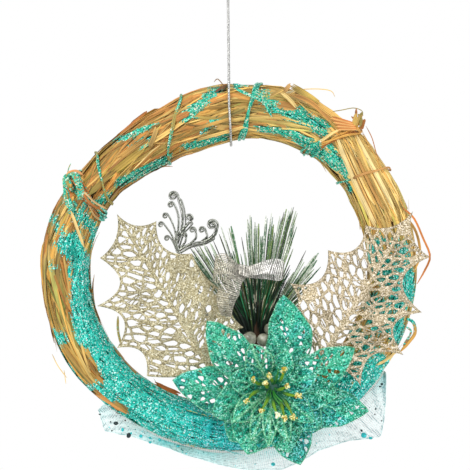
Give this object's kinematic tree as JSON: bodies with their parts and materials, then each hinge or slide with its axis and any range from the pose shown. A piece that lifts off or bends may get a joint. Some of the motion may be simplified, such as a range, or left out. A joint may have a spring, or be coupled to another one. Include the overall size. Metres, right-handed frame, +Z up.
{
  "type": "christmas wreath",
  "caption": "Straw ring wreath with a glittered openwork poinsettia, holly leaves, pine tuft, ribbon bow and net, hung from a cord.",
  "frame": {"origin": "inside top of the hanging cord's eye, where a hook carries the wreath", "axes": "+Z up along the taut cord; +Y through the wreath's depth, away from its decorated front, which faces -Y; +X to the right seen from the front"},
  "size_m": [0.2504, 0.0717, 0.3298],
  "materials": {
    "dry_straw": "dry straw stalks, golden to orange-brown, with teal glitter brushed over parts of them",
    "raffia_tie": "twisted straw ties, dry and matt, some glittered",
    "silver_cord": "silver lurex cord, fine twist, glinting",
    "champagne_glitter": "openwork plastic coated with champagne glitter",
    "silver_plated_plastic": "bright silver plating with dark shade in the scrolls",
    "pine_green": "dark green plastic needles, frosted with silver towards the tips",
    "silver_ribbon": "woven silver net ribbon",
    "pearl_grey": "satin pearl",
    "teal_glitter": "openwork plastic coated with teal glitter",
    "stamen_lime": "lime plastic stalks with gold beads",
    "white_net": "sheer white and pale blue net"
  },
  "bodies": {
    "root": {"cord_end_knot": "silver_cord", "cord_eye_knot": "silver_cord", "hanging_cord_eye": "silver_cord", "hanging_cord_front": "silver_cord", "hanging_cord_rear": "silver_cord", "holly_leaf_left": "champagne_glitter", "holly_leaf_right": "champagne_glitter", "net_drape": "white_net", "pearl_spray": "pearl_grey", "pine_sprig": "pine_green", "poinsettia_back_petals": "teal_glitter", "poinsettia_front_petals": "teal_glitter", "poinsettia_middle_petals": "teal_glitter", "poinsettia_stamens": "stamen_lime", "ribbon_bow": "silver_ribbon", "silver_scroll_pick": "silver_plated_plastic", "straw_ring": "dry_straw", "straw_tie_left_knot": "raffia_tie", "straw_tie_right_knot": "raffia_tie", "straw_tie_top": "raffia_tie", "straw_tie_top_left": "raffia_tie", "straw_tie_upper_left": "raffia_tie", "straw_tie_upper_right": "raffia_tie"}
  },
  "joints": []
}
